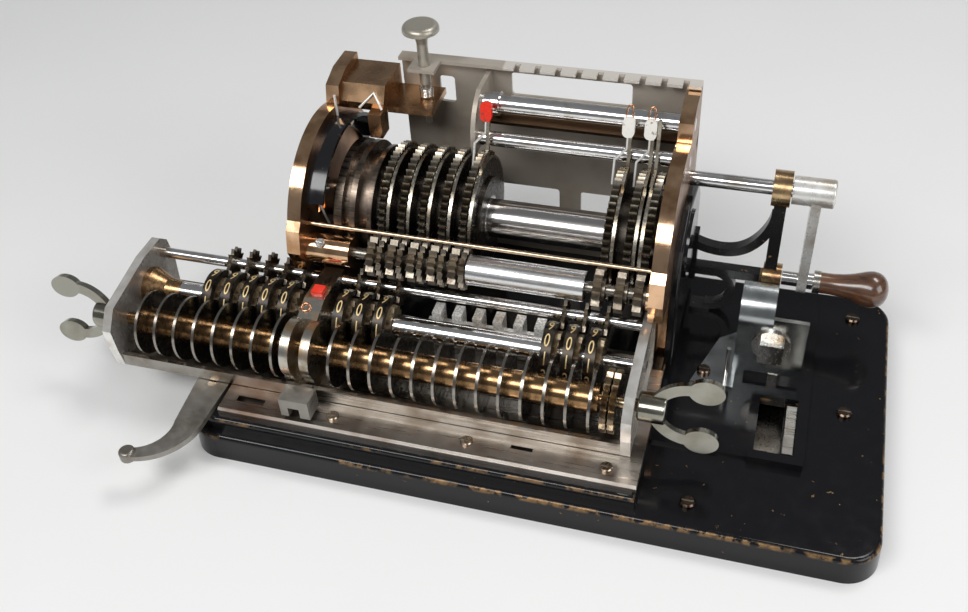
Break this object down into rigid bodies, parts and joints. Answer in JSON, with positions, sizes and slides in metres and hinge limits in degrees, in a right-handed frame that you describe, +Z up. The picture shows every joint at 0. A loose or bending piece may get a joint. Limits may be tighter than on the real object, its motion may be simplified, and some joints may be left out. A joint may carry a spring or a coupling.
{
  "type": "uncased pinwheel calculator",
  "caption": "Uncased pinwheel calculator: crank with wooden grip, geared rotor, setting levers and a sliding carriage of number wheels on a black cast base.",
  "frame": {"origin": "middle of the base's underside", "axes": "+X along the machine to the crank, +Y to its back, +Z up"},
  "size_m": [0.3593, 0.1756, 0.139],
  "materials": {
    "black_lacquer": "gloss lacquer worn to bare metal at its edges",
    "bronze": "tarnished gunmetal",
    "nickel_silver": "dull sheet, brownish",
    "ring_steel": "grey steel, oily",
    "bright_steel": "polished",
    "satin_steel": "satin",
    "nickel_plate": "plated, slightly dull",
    "brass": "bare",
    "number_black": "black with cream figures",
    "white_tab": "white enamel",
    "red_tab": "red enamel",
    "key_grey": "worn",
    "grip_wood": "brown varnish",
    "screw_steel": "worn screw heads"
  },
  "bodies": {
    "frame": {"base_casting": "black_lacquer", "bottom_plate": "black_lacquer", "rail_plate": "satin_steel", "left_cheek": "bronze", "right_cheek": "bronze", "end_guard": "black_lacquer", "bearing_bar": "bronze", "back_plate": "nickel_silver", "tie_rods": "bright_steel", "side_cover": "black_lacquer", "crank_bracket": "black_lacquer", "pinion_shaft": "ring_steel", "spacer_tube": "bright_steel", "lock_plate": "nickel_plate", "fasteners": "screw_steel"},
    "rotor": {"rotor_shaft": "satin_steel", "drive_rings": "ring_steel", "rotor_gear": "ring_steel"},
    "idler": {"idler_gear": "ring_steel"},
    "crank": {"crank_gear": "ring_steel", "crank_shaft": "bright_steel", "crank_arm": "nickel_plate", "crank_pin": "bright_steel"},
    "grip": {"crank_grip": "grip_wood", "grip_ferrule": "nickel_plate"},
    "pinion_set": {"pinions": "ring_steel"},
    "setting_disc_1": {"setting_disc_1": "bright_steel"},
    "setting_disc_2": {"setting_disc_2": "bright_steel"},
    "setting_disc_3": {"setting_disc_3": "bright_steel"},
    "setting_disc_4": {"setting_disc_4": "bright_steel"},
    "setting_lever_5": {"setting_lever_5": "red_tab"},
    "setting_lever_6": {"setting_lever_6": "white_tab"},
    "setting_lever_7": {"setting_lever_7": "white_tab"},
    "setting_lever_8": {"setting_lever_8": "bright_steel"},
    "carriage": {"carriage_bed": "satin_steel", "end_plates": "ring_steel", "middle_support": "bronze", "register_shafts": "bright_steel", "register_cone": "brass", "carry_bar": "satin_steel", "transfer_wheels": "brass"},
    "right_clearing": {"right_clearing_shaft": "brass", "right_wing_nut": "nickel_plate"},
    "left_clearing": {"left_clearing_shaft": "brass", "left_wing_nut": "nickel_plate"},
    "counter_wheel_1": {"counter_wheel_1": "number_black"},
    "counter_wheel_2": {"counter_wheel_2": "number_black"},
    "counter_wheel_3": {"counter_wheel_3": "number_black"},
    "counter_wheel_4": {"counter_wheel_4": "number_black"},
    "counter_wheel_5": {"counter_wheel_5": "number_black"},
    "result_wheel_1": {"result_wheel_1": "number_black"},
    "result_wheel_2": {"result_wheel_2": "number_black"},
    "result_wheel_3": {"result_wheel_3": "number_black"},
    "result_wheel_4": {"result_wheel_4": "number_black"},
    "result_wheel_5": {"result_wheel_5": "number_black"},
    "result_wheel_6": {"result_wheel_6": "number_black"},
    "key_plunger": {"key_plunger": "key_grey"},
    "carriage_latch": {"carriage_latch": "screw_steel"},
    "carriage_lever": {"carriage_lever": "nickel_plate"},
    "lock_lever": {"lock_lever": "screw_steel"}
  },
  "joints": [
    {"name": "rotor_turn", "type": "hinge", "parent": "frame", "child": "rotor", "pos_m": [0, 0.031, 0.0655], "axis": [1, 0, 0], "continuous": true},
    {"name": "idler_turn", "type": "hinge", "parent": "frame", "child": "idler", "pos_m": [0.041, 0.04107, 0.07523], "axis": [1, 0, 0], "continuous": true},
    {"name": "crank_turn", "type": "hinge", "parent": "frame", "child": "crank", "pos_m": [0.09, 0.05114, 0.08495], "axis": [1, 0, 0], "continuous": true},
    {"name": "grip_spin", "type": "hinge", "parent": "crank", "child": "grip", "pos_m": [0.12, 0.05114, 0.03795], "axis": [1, 0, 0], "continuous": true},
    {"name": "pinion_turn", "type": "hinge", "parent": "frame", "child": "pinion_set", "pos_m": [0, -0.005, 0.0655], "axis": [1, 0, 0], "continuous": true},
    {"name": "setting_disc_1_turn", "type": "hinge", "parent": "frame", "child": "setting_disc_1", "pos_m": [0, 0.031, 0.0655], "axis": [1, 0, 0], "range_deg": [0, 64]},
    {"name": "setting_disc_2_turn", "type": "hinge", "parent": "frame", "child": "setting_disc_2", "pos_m": [0, 0.031, 0.0655], "axis": [1, 0, 0], "range_deg": [0, 64]},
    {"name": "setting_disc_3_turn", "type": "hinge", "parent": "frame", "child": "setting_disc_3", "pos_m": [0, 0.031, 0.0655], "axis": [1, 0, 0], "range_deg": [0, 64]},
    {"name": "setting_disc_4_turn", "type": "hinge", "parent": "frame", "child": "setting_disc_4", "pos_m": [0, 0.031, 0.0655], "axis": [1, 0, 0], "range_deg": [0, 64]},
    {"name": "setting_lever_5_turn", "type": "hinge", "parent": "frame", "child": "setting_lever_5", "pos_m": [0, 0.031, 0.0655], "axis": [1, 0, 0], "range_deg": [0, 64]},
    {"name": "setting_lever_6_turn", "type": "hinge", "parent": "frame", "child": "setting_lever_6", "pos_m": [0, 0.031, 0.0655], "axis": [1, 0, 0], "range_deg": [0, 64]},
    {"name": "setting_lever_7_turn", "type": "hinge", "parent": "frame", "child": "setting_lever_7", "pos_m": [0, 0.031, 0.0655], "axis": [1, 0, 0], "range_deg": [0, 64]},
    {"name": "setting_lever_8_turn", "type": "hinge", "parent": "frame", "child": "setting_lever_8", "pos_m": [0, 0.031, 0.0655], "axis": [1, 0, 0], "range_deg": [0, 64]},
    {"name": "carriage_slide", "type": "slide", "parent": "frame", "child": "carriage", "axis": [1, 0, 0], "range_m": [0, 0.063]},
    {"name": "right_clearing_turn", "type": "hinge", "parent": "carriage", "child": "right_clearing", "pos_m": [-0.02, -0.0394, 0.0388], "axis": [1, 0, 0], "continuous": true},
    {"name": "left_clearing_turn", "type": "hinge", "parent": "carriage", "child": "left_clearing", "pos_m": [-0.14, -0.0394, 0.0388], "axis": [1, 0, 0], "continuous": true},
    {"name": "counter_wheel_1_turn", "type": "hinge", "parent": "carriage", "child": "counter_wheel_1", "pos_m": [0, -0.019, 0.04], "axis": [1, 0, 0], "continuous": true},
    {"name": "counter_wheel_2_turn", "type": "hinge", "parent": "carriage", "child": "counter_wheel_2", "pos_m": [0, -0.019, 0.04], "axis": [1, 0, 0], "continuous": true},
    {"name": "counter_wheel_3_turn", "type": "hinge", "parent": "carriage", "child": "counter_wheel_3", "pos_m": [0, -0.019, 0.04], "axis": [1, 0, 0], "continuous": true},
    {"name": "counter_wheel_4_turn", "type": "hinge", "parent": "carriage", "child": "counter_wheel_4", "pos_m": [0, -0.019, 0.04], "axis": [1, 0, 0], "continuous": true},
    {"name": "counter_wheel_5_turn", "type": "hinge", "parent": "carriage", "child": "counter_wheel_5", "pos_m": [0, -0.019, 0.04], "axis": [1, 0, 0], "continuous": true},
    {"name": "result_wheel_1_turn", "type": "hinge", "parent": "carriage", "child": "result_wheel_1", "pos_m": [0, -0.019, 0.04], "axis": [1, 0, 0], "continuous": true},
    {"name": "result_wheel_2_turn", "type": "hinge", "parent": "carriage", "child": "result_wheel_2", "pos_m": [0, -0.019, 0.04], "axis": [1, 0, 0], "continuous": true},
    {"name": "result_wheel_3_turn", "type": "hinge", "parent": "carriage", "child": "result_wheel_3", "pos_m": [0, -0.019, 0.04], "axis": [1, 0, 0], "continuous": true},
    {"name": "result_wheel_4_turn", "type": "hinge", "parent": "carriage", "child": "result_wheel_4", "pos_m": [0, -0.019, 0.04], "axis": [1, 0, 0], "continuous": true},
    {"name": "result_wheel_5_turn", "type": "hinge", "parent": "carriage", "child": "result_wheel_5", "pos_m": [0, -0.019, 0.04], "axis": [1, 0, 0], "continuous": true},
    {"name": "result_wheel_6_turn", "type": "hinge", "parent": "carriage", "child": "result_wheel_6", "pos_m": [0, -0.019, 0.04], "axis": [1, 0, 0], "continuous": true},
    {"name": "key_press", "type": "slide", "parent": "frame", "child": "key_plunger", "axis": [0, 0, -1], "range_m": [0, 0.005], "stiffness_N_per_m": 400, "springref_m": -0.003},
    {"name": "latch_lift", "type": "slide", "parent": "carriage", "child": "carriage_latch", "axis": [0, 0, 1], "range_m": [0, 0.003], "stiffness_N_per_m": 200, "springref_m": -0.002},
    {"name": "carriage_lever_turn", "type": "hinge", "parent": "frame", "child": "carriage_lever", "pos_m": [-0.137, -0.053, 0.0205], "axis": [0, 0, 1], "range_deg": [-20, 5]},
    {"name": "lock_slide", "type": "slide", "parent": "frame", "child": "lock_lever", "axis": [0, 1, 0], "range_m": [0, 0.003]}
  ],
  "couplings": [
    {"joint": "pinion_turn", "follows": "rotor_turn", "ratio": -3.5},
    {"joint": "idler_turn", "follows": "rotor_turn", "ratio": -1},
    {"joint": "crank_turn", "follows": "rotor_turn", "ratio": 1}
  ]
}
